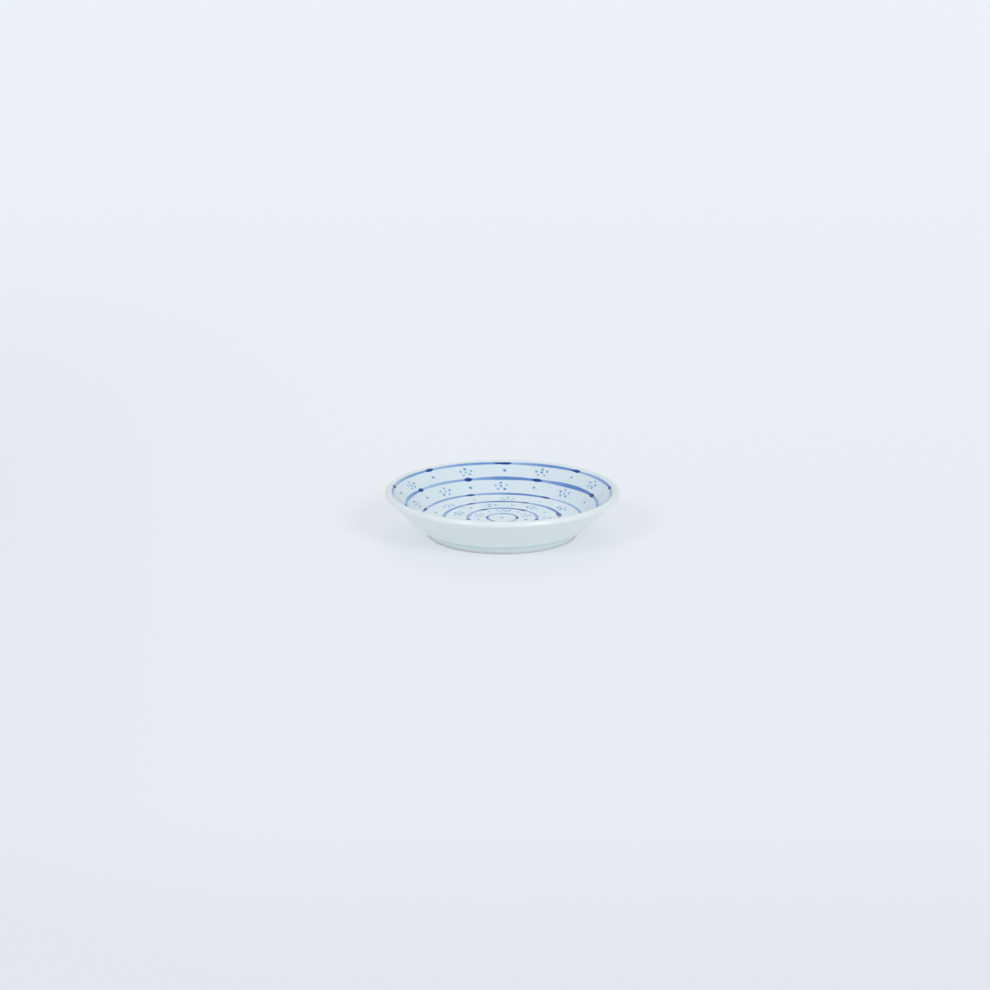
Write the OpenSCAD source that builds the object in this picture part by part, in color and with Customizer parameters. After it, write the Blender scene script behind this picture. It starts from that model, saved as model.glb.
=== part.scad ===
// Small round porcelain plate with a foot ring, clear glaze and brushed cobalt bands, blossoms and dots.
// Origin: centre of the plate on the surface that it stands on. +Z is up. Millimetres.

/* [Plate] */
// Outside diameter of the rim
rim_d = 105; // [98:0.5:120]
// Height from the table to the top of the lip
plate_h = 20.2; // [18:0.1:24]
// Depth of the well below the top of the lip
well_depth = 13; // [11:0.1:14]
// Slope of the inside wall, from level
wall_angle = 41; // [37:0.5:46]
// How much steeper the outside wall is than the inside wall
wall_flare = 2; // [0:0.5:4]
// Radius of the cove between the well floor and the wall
cove_r = 12; // [8:0.5:15]
// Radius of the belly between the outside wall and the foot
belly_r = 10; // [7:0.5:13]
// Radius of the lip on its inner side
lip_in_r = 3; // [2:0.1:4]
// Radius of the lip on its outer side
lip_out_r = 1.5; // [1.2:0.1:2]

/* [Foot] */
// Outside diameter of the foot ring at its top
foot_d = 67.6; // [60:0.2:74]
// Height of the groove above the table, which is also the depth of the recess in the foot
foot_h = 3.2; // [2.4:0.1:4]
// Width of the foot ring at its top, with its glaze
foot_w = 4.4; // [3.6:0.1:6]
// How far each side of the foot ring leans in towards the table
foot_lean = 0.6; // [0.2:0.1:0.9]
// Bevel on the standing edge
foot_bevel = 0.5; // [0.2:0.1:0.7]
// Height of bare clay above the table
bare_h = 0.9; // [0.7:0.1:1.5]

/* [Glaze] */
// Thickness of the glaze
glaze_t = 0.4; // [0.3:0.05:0.6]

/* [Bands] */
// From the rim in to the middle of the rim band, in plan
rim_band_inset = 3.8; // [3:0.1:5]
// Diameter of the inner well band
inner_band_d = 13.4; // [10:0.2:16]
// From the rim band in to the upper wall band, in plan, before the spare room is shared out
rim_zone_w = 6; // [5.5:0.1:7]
// From the upper wall band in to the lower wall band, in plan, before the spare room is shared out
wall_zone_w = 7.1; // [6:0.1:8]
// From the lower wall band in to the outer well band, before the spare room is shared out
outer_zone_w = 9.7; // [8:0.1:10.5]
// From the outer well band in to the middle well band, before the spare room is shared out
middle_zone_w = 10.4; // [8:0.1:11]
// From the middle well band in to the inner well band, before the spare room is shared out
inner_zone_w = 8.8; // [7:0.1:9.5]
// Width of the three bands on the wall, along the surface
wall_band_w = 1.5; // [0.9:0.1:1.9]
// Width of the three bands in the well
well_band_w = 1.1; // [0.8:0.1:1.6]
// Length of a brush knot along its band
knot_l = 5; // [3:0.1:6]
// Width of a brush knot across its band
knot_w = 2.2; // [2:0.1:2.6]

/* [Blossoms and dots] */
// Diameter of a petal dot and of a blossom's heart
petal_d = 1.2; // [0.8:0.1:1.4]
// From a blossom's heart to its petals, around the plate
blossom_across = 2.7; // [2.2:0.1:3]
// From a blossom's heart to its petals, towards the rim
blossom_up = 1.8; // [1.6:0.1:2]
// Diameter of a single dot
dot_d = 1.5; // [1:0.1:2]
// Diameter of the dot at the centre
centre_dot_d = 1.6; // [1:0.1:2.2]
// Blossoms in the zone below the rim
rim_repeats = 9; // [7:1:10]
// Blossoms in the lower zone of the wall
wall_repeats = 8; // [6:1:9]
// Blossoms in the outer zone of the well
outer_repeats = 7; // [5:1:8]
// Blossoms in the middle zone of the well
middle_repeats = 6; // [4:1:7]
// Blossoms in the inner zone of the well
inner_repeats = 5; // [3:1:5]
// Knots on the inner well band
inner_band_knots = 2; // [1:1:4]

/* [Hidden] */

$fn = 180;
arc_steps = 9;
dot_facets = 24;

clay_colour = "#e8e4da";
glaze_colour = "#dce8ec";
wash_colour = "#6f93c8";
dark_colour = "#2b4288";
dot_colour = "#7d9fd0";

// The hand of the painter, ring by ring from the rim inwards, in degrees: the turn of the first mark, how far
// the even spacing drifts in one wave and in two waves round the plate and where each of them starts, and
// how far the knots on a band are turned past the dots beside it
first_turn = [6, 12.5, 8.5, 17, 53.5, -5];
spacing_drift = [6, 11, 2, 5, 2, 0];
drift_lead = [-5, 18, -87, 95, 160, 0];
second_drift = [4.5, 0, 3.5, 0, 0, 0];
second_lead = [143, 0, 186, 0, 0, 0];
knot_turn = [-0.5, 0, -1, -8.5, -1, 0];

// Heights and slopes of the finished plate
rim_r = rim_d / 2;
floor_z = plate_h - well_depth;
outside_angle = wall_angle + wall_flare;

// The crown is the circle along the top of the lip, where its two roundings meet
crown_r = rim_r - lip_out_r;
lip_foot_r = crown_r - lip_in_r * sin(wall_angle);
lip_foot_z = plate_h - lip_in_r * (1 - cos(wall_angle));

// The wall falls from the lip to the cove, and the cove runs out into the flat floor
cove_top_z = floor_z + cove_r * (1 - cos(wall_angle));
cove_top_r = lip_foot_r - (lip_foot_z - cove_top_z) / tan(wall_angle);
floor_r = cove_top_r - cove_r * sin(wall_angle);

// The outside wall falls from under the lip to the belly, and the belly runs out level above the foot
brow_r = crown_r + lip_out_r * sin(outside_angle);
brow_z = plate_h - lip_out_r * (1 + cos(outside_angle));
belly_top_z = foot_h + belly_r * (1 - cos(outside_angle));
belly_top_r = brow_r - (brow_z - belly_top_z) / tan(outside_angle);
groove_r = belly_top_r - belly_r * sin(outside_angle);

// Foot ring, glazed size at the groove
foot_r = foot_d / 2;
foot_bore_r = foot_r - foot_w;
foot_mid_r = foot_r - foot_w / 2;
lean_per_mm = foot_lean / foot_h;

// Painted bands and the zones between them, from the rim inwards. The rim band hangs from the rim and the
// inner well band is set out from the centre, and the zones share the spare room between them evenly
zone_plan_w = [rim_zone_w, wall_zone_w, outer_zone_w, middle_zone_w, inner_zone_w];
rim_band_r = rim_r - rim_band_inset;
spare_w = (rim_band_r - inner_band_d / 2 - sum(zone_plan_w)) / len(zone_plan_w);
zone_w = [for (w = zone_plan_w) w + spare_w];
band_w = [wall_band_w, wall_band_w, wall_band_w, well_band_w, well_band_w, well_band_w];
repeats = [rim_repeats, wall_repeats, outer_repeats, middle_repeats, inner_repeats, inner_band_knots];
function zones_outside(ring) = ring == 0 ? 0 : zone_w[ring - 1] + zones_outside(ring - 1);
band_r = [for (ring = [0 : len(band_w) - 1]) rim_band_r - zones_outside(ring)];
zone_r = [for (zone = [0 : len(zone_w) - 1]) band_r[zone] - zone_w[zone] / 2];
through = 3 * glaze_t;
petals = 5;

function sum(list) = list * [for (value = list) 1];
function reverse(list) = [for (i = [len(list) - 1 : -1 : 0]) list[i]];
function without_first(list) = [for (i = [1 : len(list) - 1]) list[i]];

// Points of a circular arc in the section, both ends included
function arc(centre, radius, from, to) =
    [for (i = [0 : arc_steps])
        let (a = from + (to - from) * i / arc_steps)
        centre + radius * [cos(a), sin(a)]];

// Section of the inside, from the axis to the outermost edge of the rim, at a depth under the surface
function inside_path(depth) = concat(
    [[0, floor_z - depth]],
    arc([floor_r, floor_z + cove_r], cove_r + depth, -90, wall_angle - 90),
    arc([crown_r, plate_h - lip_in_r], lip_in_r - depth, 90 + wall_angle, 90),
    without_first(arc([crown_r, plate_h - lip_out_r], lip_out_r - depth, 90, 0)));

// Section of the outside, from the outermost edge of the rim to the groove above the foot
function outside_path(depth) = concat(
    arc([crown_r, plate_h - lip_out_r], lip_out_r - depth, 0, outside_angle - 90),
    arc([groove_r, foot_h + belly_r], belly_r - depth, outside_angle - 90, -90));

// Radius of the outer and inner side of the glazed foot ring at a height
function foot_out(z) = foot_r - lean_per_mm * (foot_h - z);
function foot_in(z) = foot_bore_r + lean_per_mm * (foot_h - z);

// Slope and height of the inside surface at a plan radius up to the lip
function slope_at(r) =
    r <= floor_r ? 0 : r >= cove_top_r ? wall_angle : asin((r - floor_r) / cove_r);
function height_at(r) =
    r <= floor_r ? floor_z
    : r >= cove_top_r ? cove_top_z + (r - cove_top_r) * tan(wall_angle)
    : floor_z + cove_r * (1 - cos(slope_at(r)));

// Azimuth of a mark in a ring: even steps carry knots and dots, odd steps carry blossoms
function mark_azimuth(ring, step) =
    let (even = first_turn[ring] + step * 180 / repeats[ring])
    even + spacing_drift[ring] * sin(even + drift_lead[ring])
        + second_drift[ring] * sin(2 * even + second_lead[ring]);

// Lay children flat on the inside surface: X points up the slope, Y runs round the plate
module on_inside(r, azimuth) {
    rotate([0, 0, azimuth])
        translate([r, 0, height_at(r)])
            rotate([0, -slope_at(r), 0])
                children();
}

// A straight prick through the glaze
module prick(diameter) {
    cylinder(h = 2 * through, d = diameter, center = true, $fn = dot_facets);
}

// Two overlapping circles leave the pointed oval of a loaded brush
module knot_prick() {
    circle_r = (knot_l * knot_l + knot_w * knot_w) / (4 * knot_w);
    intersection() {
        translate([circle_r - knot_w / 2, 0, 0]) prick(2 * circle_r);
        translate([knot_w / 2 - circle_r, 0, 0]) prick(2 * circle_r);
    }
}

module blossom_pricks() {
    prick(petal_d);
    for (k = [0 : petals - 1])
        translate([blossom_up * cos(k * 360 / petals), blossom_across * sin(k * 360 / petals), 0])
            prick(petal_d);
}

module knot_ring(ring) {
    for (k = [0 : repeats[ring] - 1])
        on_inside(band_r[ring], mark_azimuth(ring, 2 * k) + knot_turn[ring]) knot_prick();
}

module blossom_ring(zone) {
    for (k = [0 : repeats[zone] - 1])
        on_inside(zone_r[zone], mark_azimuth(zone, 2 * k + 1)) blossom_pricks();
}

module dot_ring(zone) {
    for (k = [0 : repeats[zone] - 1])
        on_inside(zone_r[zone], mark_azimuth(zone, 2 * k)) prick(dot_d);
}

module centre_prick() {
    on_inside(0, 0) prick(centre_dot_d);
}

// Section of the whole inside coat, before the painted marks are taken out of it
module coat_section() {
    polygon(concat(inside_path(0), reverse(inside_path(glaze_t))));
}

// The slice of the section that a band takes up
module band_slice(ring) {
    plan_w = band_w[ring] * cos(slope_at(band_r[ring]));
    translate([band_r[ring] - plan_w / 2, 0]) square([plan_w, 2 * plate_h]);
}

module inside_coat() {
    rotate_extrude() coat_section();
}

module band(ring) {
    difference() {
        rotate_extrude() intersection() {
            coat_section();
            band_slice(ring);
        }
        knot_ring(ring);
    }
}

module knots(ring) {
    intersection() {
        inside_coat();
        knot_ring(ring);
    }
}

module blossoms(zone) {
    intersection() {
        inside_coat();
        blossom_ring(zone);
    }
}

module dots(zone) {
    intersection() {
        inside_coat();
        dot_ring(zone);
    }
}

// Section of the dish below the edge of the rim, at a depth under its outside
module dish_section(depth) {
    polygon(concat([[0, plate_h - lip_out_r]], outside_path(depth), [[0, foot_h + depth]]));
}

// Section of the glazed foot ring above its bare edge, carried up into the dish
module glazed_foot_section() {
    polygon([
        [foot_in(bare_h), bare_h],
        [foot_out(bare_h), bare_h],
        [foot_out(floor_z), floor_z],
        [foot_in(floor_z), floor_z]
    ]);
}

// Section of the clay of the foot ring, carried up into the dish
module clay_foot_section() {
    polygon([
        [foot_in(0) + glaze_t + foot_bevel, 0],
        [foot_out(0) - glaze_t - foot_bevel, 0],
        [foot_out(foot_bevel) - glaze_t, foot_bevel],
        [foot_out(floor_z) - glaze_t, floor_z],
        [foot_in(floor_z) + glaze_t, floor_z],
        [foot_in(foot_bevel) + glaze_t, foot_bevel]
    ]);
}

// The whole coat on the outer wall, on both sides of the foot and in the recess
module outside_coat() {
    difference() {
        union() {
            rotate_extrude() dish_section(0);
            rotate_extrude() glazed_foot_section();
        }
        rotate_extrude() dish_section(glaze_t);
        rotate_extrude() clay_foot_section();
    }
}

// The room inside the middle of the foot ring, which parts the recess from the outside
module recess_room() {
    cylinder(h = plate_h, r = foot_mid_r);
}

// Fired porcelain dish under the glaze
module clay_body() {
    color(clay_colour) rotate_extrude()
        polygon(concat(inside_path(glaze_t), without_first(outside_path(glaze_t)), [[0, foot_h + glaze_t]]));
}

// Turned foot ring, bare on its standing edge
module foot_ring() {
    color(clay_colour) rotate_extrude() difference() {
        clay_foot_section();
        dish_section(glaze_t);
    }
}

// Clear glaze of the well, wall and lip, without the painted marks
module inside_glaze() {
    color(glaze_colour) difference() {
        rotate_extrude() difference() {
            coat_section();
            for (ring = [0 : len(band_r) - 1]) band_slice(ring);
        }
        for (ring = [0 : len(band_r) - 1]) knot_ring(ring);
        for (zone = [0 : len(zone_r) - 1]) blossom_ring(zone);
        for (zone = [0 : len(zone_r) - 1]) dot_ring(zone);
        centre_prick();
    }
}

// Clear glaze of the outer wall and of the outside of the foot
module outside_glaze() {
    color(glaze_colour) difference() {
        outside_coat();
        recess_room();
    }
}

// Clear glaze of the recess inside the foot
module base_glaze() {
    color(glaze_colour) intersection() {
        outside_coat();
        recess_room();
    }
}

// Brushed cobalt bands, from the rim inwards
module rim_band() { color(wash_colour) band(0); }
module upper_wall_band() { color(wash_colour) band(1); }
module lower_wall_band() { color(wash_colour) band(2); }
module outer_well_band() { color(wash_colour) band(3); }
module middle_well_band() { color(wash_colour) band(4); }
module inner_well_band() { color(wash_colour) band(5); }

// Dark knots where a loaded brush was set down
module rim_band_knots() { color(dark_colour) knots(0); }
module upper_wall_band_knots() { color(dark_colour) knots(1); }
module lower_wall_band_knots() { color(dark_colour) knots(2); }
module outer_well_band_knots() { color(dark_colour) knots(3); }
module middle_well_band_knots() { color(dark_colour) knots(4); }
module inner_well_band_knots() { color(dark_colour) knots(5); }

// Blossoms of one heart dot and five petal dots, zone by zone
module rim_blossoms() { color(dot_colour) blossoms(0); }
module wall_blossoms() { color(dot_colour) blossoms(1); }
module outer_well_blossoms() { color(dot_colour) blossoms(2); }
module middle_well_blossoms() { color(dot_colour) blossoms(3); }
module inner_well_blossoms() { color(dot_colour) blossoms(4); }

// Single dots between the blossoms, zone by zone
module rim_dots() { color(dot_colour) dots(0); }
module wall_dots() { color(dot_colour) dots(1); }
module outer_well_dots() { color(dot_colour) dots(2); }
module middle_well_dots() { color(dot_colour) dots(3); }
module inner_well_dots() { color(dot_colour) dots(4); }

// Dot at the centre of the well
module centre_dot() {
    color(dark_colour) intersection() {
        inside_coat();
        centre_prick();
    }
}

clay_body();
foot_ring();
inside_glaze();
outside_glaze();
base_glaze();
rim_band();
upper_wall_band();
lower_wall_band();
outer_well_band();
middle_well_band();
inner_well_band();
rim_band_knots();
upper_wall_band_knots();
lower_wall_band_knots();
outer_well_band_knots();
middle_well_band_knots();
inner_well_band_knots();
rim_blossoms();
wall_blossoms();
outer_well_blossoms();
middle_well_blossoms();
inner_well_blossoms();
rim_dots();
wall_dots();
outer_well_dots();
middle_well_dots();
inner_well_dots();
centre_dot();
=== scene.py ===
"""Small porcelain pickle plate: clear glaze over brushed cobalt bands, plum blossoms and dots."""
from itertools import accumulate
from math import asin, cos, pi, radians, sin, sqrt, tan

import bmesh
import bpy
from mathutils import Matrix, Vector


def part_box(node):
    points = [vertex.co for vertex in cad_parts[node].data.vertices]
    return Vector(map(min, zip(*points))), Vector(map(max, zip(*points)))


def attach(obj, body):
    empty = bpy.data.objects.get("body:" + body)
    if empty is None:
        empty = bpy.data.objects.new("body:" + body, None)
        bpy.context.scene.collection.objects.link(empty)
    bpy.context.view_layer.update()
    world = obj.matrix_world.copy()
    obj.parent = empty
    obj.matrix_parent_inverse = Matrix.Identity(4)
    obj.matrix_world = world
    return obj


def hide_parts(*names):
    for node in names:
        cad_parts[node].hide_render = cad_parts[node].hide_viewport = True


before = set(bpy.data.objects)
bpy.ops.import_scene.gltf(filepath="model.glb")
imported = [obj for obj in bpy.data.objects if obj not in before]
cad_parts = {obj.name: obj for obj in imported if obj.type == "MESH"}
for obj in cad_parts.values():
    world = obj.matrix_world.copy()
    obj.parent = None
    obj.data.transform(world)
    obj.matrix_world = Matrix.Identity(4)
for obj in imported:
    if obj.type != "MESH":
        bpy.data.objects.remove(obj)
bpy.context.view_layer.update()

scene = bpy.context.scene
scene.view_settings.view_transform = "Standard"

MM = 0.001
TURN = 2 * pi

# Sizes of the plate, read from the frame where a box gives them
RIM_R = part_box("inside_glaze")[1].x
PLATE_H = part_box("inside_glaze")[1].z
FLOOR_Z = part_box("centre_dot")[1].z
GLAZE_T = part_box("centre_dot")[1].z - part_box("centre_dot")[0].z
BARE_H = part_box("base_glaze")[0].z
FOOT_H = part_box("base_glaze")[1].z - GLAZE_T
WALL_ANGLE = radians(41)
OUTSIDE_ANGLE = radians(43)
COVE_R = 12 * MM
BELLY_R = 10 * MM
LIP_IN_R = 3 * MM
LIP_OUT_R = 1.5 * MM
FOOT_R = 33.8 * MM
FOOT_W = 4.4 * MM
FOOT_LEAN = 0.6 * MM
FOOT_ROUND = 0.5 * MM
POOL_R = 0.7 * MM
RECESS_R = 1.1 * MM
GLAZE_END_R = 0.4 * MM

# Points on the section where one curve runs into the next
CROWN_R = RIM_R - LIP_OUT_R
LIP_FOOT_R = CROWN_R - LIP_IN_R * sin(WALL_ANGLE)
LIP_FOOT_Z = PLATE_H - LIP_IN_R * (1 - cos(WALL_ANGLE))
COVE_TOP_Z = FLOOR_Z + COVE_R * (1 - cos(WALL_ANGLE))
COVE_TOP_R = LIP_FOOT_R - (LIP_FOOT_Z - COVE_TOP_Z) / tan(WALL_ANGLE)
FLOOR_R = COVE_TOP_R - COVE_R * sin(WALL_ANGLE)
BROW_R = CROWN_R + LIP_OUT_R * sin(OUTSIDE_ANGLE)
BROW_Z = PLATE_H - LIP_OUT_R * (1 + cos(OUTSIDE_ANGLE))
BELLY_TOP_Z = FOOT_H + BELLY_R * (1 - cos(OUTSIDE_ANGLE))
BELLY_TOP_R = BROW_R - (BROW_Z - BELLY_TOP_Z) / tan(OUTSIDE_ANGLE)
GROOVE_R = BELLY_TOP_R - BELLY_R * sin(OUTSIDE_ANGLE)

# The slight warp that the plate took in the kiln: how far the rim lifts, by what share it grows, and where
# the waves of both start, in radians
WARP_LIFT = 0.10 * MM
WARP_GROW = 0.0012
SADDLE_LEAD = 0.9
RIPPLE_LEAD = 2.2
GROW_LEAD = 2.4

# How finely the plate and its bands are turned, how near points are welded, and the size of a guide circle
AROUND = 360
BAND_AROUND = 720
WELD = 0.002 * MM
GUIDE_R = 10 * MM

# Painted rings from the rim inwards, at the radii that the solids have
ZONE_W = [6 * MM, 7.1 * MM, 9.7 * MM, 10.4 * MM, 8.8 * MM]
RIM_BAND_INSET = 3.8 * MM
BAND_R = list(accumulate(ZONE_W, lambda r, w: r - w, initial=RIM_R - RIM_BAND_INSET))
ZONE_R = [(outer + inner) / 2 for outer, inner in zip(BAND_R, BAND_R[1:])]

# The hand of the painter, ring by ring in degrees: marks round the ring, the turn of the first, the two
# waves that its spacing drifts by, and how far the knots are turned past the dots. The seed says which
# strokes and dabs came out heavier.
REPEATS = [9, 8, 7, 6, 5, 2]
FIRST_TURN = [6, 12.5, 8.5, 17, 53.5, -5]
SPACING_DRIFT = [6, 11, 2, 5, 2, 0]
DRIFT_LEAD = [-5, 18, -87, 95, 160, 0]
SECOND_DRIFT = [4.5, 0, 3.5, 0, 0, 0]
SECOND_LEAD = [143, 0, 186, 0, 0, 0]
KNOT_TURN = [-1, -0.5, -1, -11, -1, 0]
SEED = [195, 21, 15, 188, 77, 93]
DRIFT_ROUNDS = 5

# A mark of cobalt is a thin lens sunk into the glaze. It stands out by the lift over a share of its width,
# with a margin of clear glaze inside that share.
PAINT_LIFT = 0.012 * MM
LENS_POINTS = 30
SHOWN_SHARE = cos(radians(30))
PAINT_MARGIN = 0.10 * MM

# A stroke's share of its swell with a dry brush, what a load adds, and a nudge past the seam of two strokes
SWELL_DRY = 0.3
SWELL_LOAD = 1.4
STROKE_NUDGE = 0.001

# A knot: how far it reaches before it trails, its width when short and what trailing takes from that, how
# blunt it is, how softly it joins the stroke, and the step from the stroke's seed to its own
KNOT_REACH = 0.80
KNOT_WIDEST = 1.1
KNOT_THINNING = 0.3
KNOT_BLUNTNESS = 2.4
KNOT_BLEND = 0.15 * MM
KNOT_SEED = 7

# Unsteady rings: how far they meander at the rim, and the waves round the plate that they do it in
MEANDER = 0.10 * MM
SLOW_WAVES = 3
QUICK_WAVES = 7
QUICK_SHARE = 0.6

# Brushed bands from the rim inwards, lengths in millimetres: thinnest half width, swell in mid stroke, half
# width of a knot, its half length, the share of that by which it trails, added strength, strength of a knot,
# how far off centre, and which way in degrees
BANDS = [
    ("rim_band", 0.60, 0.22, 0.96, 2.6, 1.1, -0.01, 0.96, 0.22, 165),
    ("upper_wall_band", 0.62, 0.42, 1.18, 3.0, 0.1, 0.00, 0.96, 0.50, 245),
    ("lower_wall_band", 0.58, 0.22, 0.86, 2.3, 0.4, -0.02, 0.92, 0.40, 225),
    ("outer_well_band", 0.84, 0.32, 1.35, 3.0, 0.4, 0.12, 1.00, 0.30, 100),
    ("middle_well_band", 0.78, 0.26, 1.30, 2.9, 0.4, 0.08, 1.00, 0.45, 285),
    ("inner_well_band", 0.60, 0.14, 0.98, 1.8, 0.2, -0.10, 0.88, 0.35, 280),
]

# Half lengths of the blossoms' dabs, zone by zone between the bands
ZONES = {
    "rim": 0.70 * MM, "wall": 0.70 * MM,
    "outer_well": 0.80 * MM, "middle_well": 0.82 * MM, "inner_well": 0.78 * MM,
}

# A blossom: how far its petals stand from the heart along the ring and up the section, how loosely they are
# set, and how far it leans, in radians
PETALS = 5
BLOSSOM_ACROSS = 2.7 * MM
BLOSSOM_UP = 1.8 * MM
BLOSSOM_LOOSE = 0.16 * MM
BLOSSOM_LEAN = 0.16

# Half length of a single dab, the width of a dab to its length, and the dab at the centre, which takes the
# turn and the seed of the innermost ring
SINGLE_HALF = 0.84 * MM
SLIMNESS = 0.75
CENTRE_LONG = 0.85 * MM
CENTRE_WIDE = 0.75 * MM
CENTRE_RING = len(BANDS) - 1

# Shape of a dab: the size of its lens to its own, its tilt and how much that varies, in radians, how much
# its size varies, its faces, and the ring radius below which it lies at the centre
DAB_MARGIN = 1.7
DAB_TILT = 0.55
TILT_SPREAD = 0.35
SMALLEST_DAB = 0.88
LARGEST_DAB = 1.14
DAB_SEGMENTS = 12
DAB_RINGS = 6
NEAR_CENTRE = 0.1 * MM

# Steps from a ring's seed to those of its dabs
UP_SEED, ACROSS_SEED, LOAD_SEED, TILT_SEED, GROWTH_SEED = range(1, 6)


def arc(centre_r, centre_z, radius, start, end, steps):
    """Points of a circular arc in the section, both ends included, angles from the +r axis."""
    turns = [start + (end - start) * i / steps for i in range(steps + 1)]
    return [(centre_r + radius * cos(a), centre_z + radius * sin(a)) for a in turns]


def line(start, end, steps):
    """Points along a straight stretch, without its first."""
    shares = [i / steps for i in range(1, steps + 1)]
    return [tuple(a + (b - a) * share for a, b in zip(start, end)) for share in shares]


def foot_out(z):
    """Radius of the outer side of the foot at a height."""
    return FOOT_R - FOOT_LEAN * (FOOT_H - z) / FOOT_H


def foot_in(z):
    """Radius of the inner side of the foot at a height."""
    return FOOT_R - FOOT_W + FOOT_LEAN * (FOOT_H - z) / FOOT_H


def glazed_section():
    """From the middle of the well over the lip, down the outside, round the foot to the axis below."""
    floor = line((0, FLOOR_Z), (FLOOR_R, FLOOR_Z), steps=24)
    cove = arc(FLOOR_R, FLOOR_Z + COVE_R, COVE_R, -pi / 2, WALL_ANGLE - pi / 2, steps=18)
    lip_in = arc(CROWN_R, PLATE_H - LIP_IN_R, LIP_IN_R, pi / 2 + WALL_ANGLE, pi / 2, steps=10)
    lip_out = arc(CROWN_R, PLATE_H - LIP_OUT_R, LIP_OUT_R, pi / 2, OUTSIDE_ANGLE - pi / 2, steps=18)
    wall = line(cove[-1], lip_in[0], steps=12)
    pool_r = foot_out(FOOT_H) + POOL_R
    dip = asin((pool_r - GROOVE_R) / BELLY_R)
    belly = arc(GROOVE_R, FOOT_H + BELLY_R, BELLY_R, OUTSIDE_ANGLE - pi / 2, dip - pi / 2, steps=16)
    outside = line(lip_out[-1], belly[0], steps=12)
    pool = arc(pool_r, belly[-1][1] - POOL_R, POOL_R, pi / 2, pi, steps=8)
    end_z = BARE_H + GLAZE_END_R
    end_out = arc(foot_out(BARE_H) - GLAZE_END_R, end_z, GLAZE_END_R, 0, -pi / 2, steps=6)
    end_in = arc(foot_in(BARE_H) + GLAZE_END_R, end_z, GLAZE_END_R, -pi / 2, -pi, steps=6)
    recess = arc(foot_in(FOOT_H) - RECESS_R, FOOT_H - RECESS_R, RECESS_R, 0, pi / 2, steps=8)
    ceiling = line(recess[-1], (0, FOOT_H), steps=16)
    return [
        (0, FLOOR_Z), *floor, *cove[1:], *wall, *lip_in[1:], *lip_out[1:], *outside, *belly[1:],
        *pool[1:], *end_out, *end_in, *recess, *ceiling,
    ]


def bare_foot_section():
    """Closed outline of the unglazed standing edge, with its corners worn round."""
    out_r = foot_out(0) - GLAZE_T
    in_r = foot_in(0) + GLAZE_T
    top_out = (foot_out(BARE_H) - GLAZE_T, BARE_H)
    top_in = (foot_in(BARE_H) + GLAZE_T, BARE_H)
    outer = arc(out_r - FOOT_ROUND, FOOT_ROUND, FOOT_ROUND, 0, -pi / 2, steps=6)
    inner = arc(in_r + FOOT_ROUND, FOOT_ROUND, FOOT_ROUND, -pi / 2, -pi, steps=6)
    bottom = line(outer[-1], inner[0], steps=6)
    top = line(top_in, top_out, steps=6)
    return [top_out, *outer, *bottom, *inner[1:], top_in, *top[:-1]]


def reach_to(r):
    """Distance along the section from the centre of the well to a plan radius on its inside."""
    if r <= FLOOR_R:
        return r
    if r >= COVE_TOP_R:
        return FLOOR_R + COVE_R * WALL_ANGLE + (r - COVE_TOP_R) / cos(WALL_ANGLE)
    return FLOOR_R + COVE_R * asin((r - FLOOR_R) / COVE_R)


# Distances along the section to the foot of the lip, its crown, its outermost point and its underside
LIP_REACH = reach_to(LIP_FOOT_R)
CROWN_REACH = LIP_REACH + LIP_IN_R * WALL_ANGLE
LIP_FRONT_REACH = CROWN_REACH + LIP_OUT_R * pi / 2
BROW_REACH = CROWN_REACH + LIP_OUT_R * (pi - OUTSIDE_ANGLE)


class Wire:
    """A value on its way through a node tree: each operator adds one Math node."""

    def __init__(self, graph, socket):
        self.graph = graph
        self.socket = socket

    def out(self, name):
        """Another output of the same node."""
        return self.graph.wire(self.socket.node, name)

    def __add__(self, other):
        return self.graph.math("ADD", self, other)

    def __radd__(self, other):
        return self.graph.math("ADD", other, self)

    def __sub__(self, other):
        return self.graph.math("SUBTRACT", self, other)

    def __rsub__(self, other):
        return self.graph.math("SUBTRACT", other, self)

    def __mul__(self, other):
        return self.graph.math("MULTIPLY", self, other)

    def __rmul__(self, other):
        return self.graph.math("MULTIPLY", other, self)

    def __truediv__(self, other):
        return self.graph.math("DIVIDE", self, other)

    def __rtruediv__(self, other):
        return self.graph.math("DIVIDE", other, self)

    def __pow__(self, other):
        return self.graph.math("POWER", self, other)

    def __rpow__(self, other):
        return self.graph.math("POWER", other, self)


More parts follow.
